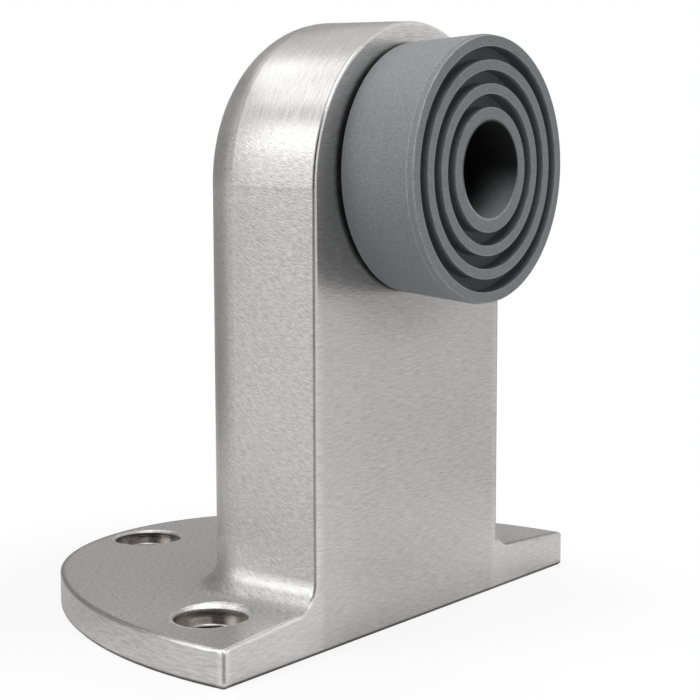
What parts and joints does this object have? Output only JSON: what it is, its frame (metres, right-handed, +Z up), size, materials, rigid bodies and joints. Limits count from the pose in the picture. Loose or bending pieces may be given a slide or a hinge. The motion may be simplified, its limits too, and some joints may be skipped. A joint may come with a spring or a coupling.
{
  "type": "floor door stop",
  "caption": "Floor-mounted door stop: a cast plate with counterbored screw holes carries an arched post with a round grooved rubber bumper.",
  "frame": {"origin": "on the underside, at the centre of the bounding box", "axes": "+Z up from the floor along the post, -Y the way the bumper faces, +X along the straight front edge, to the right as seen from in front of the bumper"},
  "size_m": [0.1014, 0.086, 0.1044],
  "materials": {
    "body_metal": "satin, finely brushed",
    "bumper_rubber": "matt moulded",
    "fastener_steel": "plain zinc-plated"
  },
  "bodies": {
    "root": {"cast_body": "body_metal", "rubber_bumper": "bumper_rubber", "bumper_screw": "fastener_steel", "bumper_washer": "fastener_steel"}
  },
  "joints": []
}
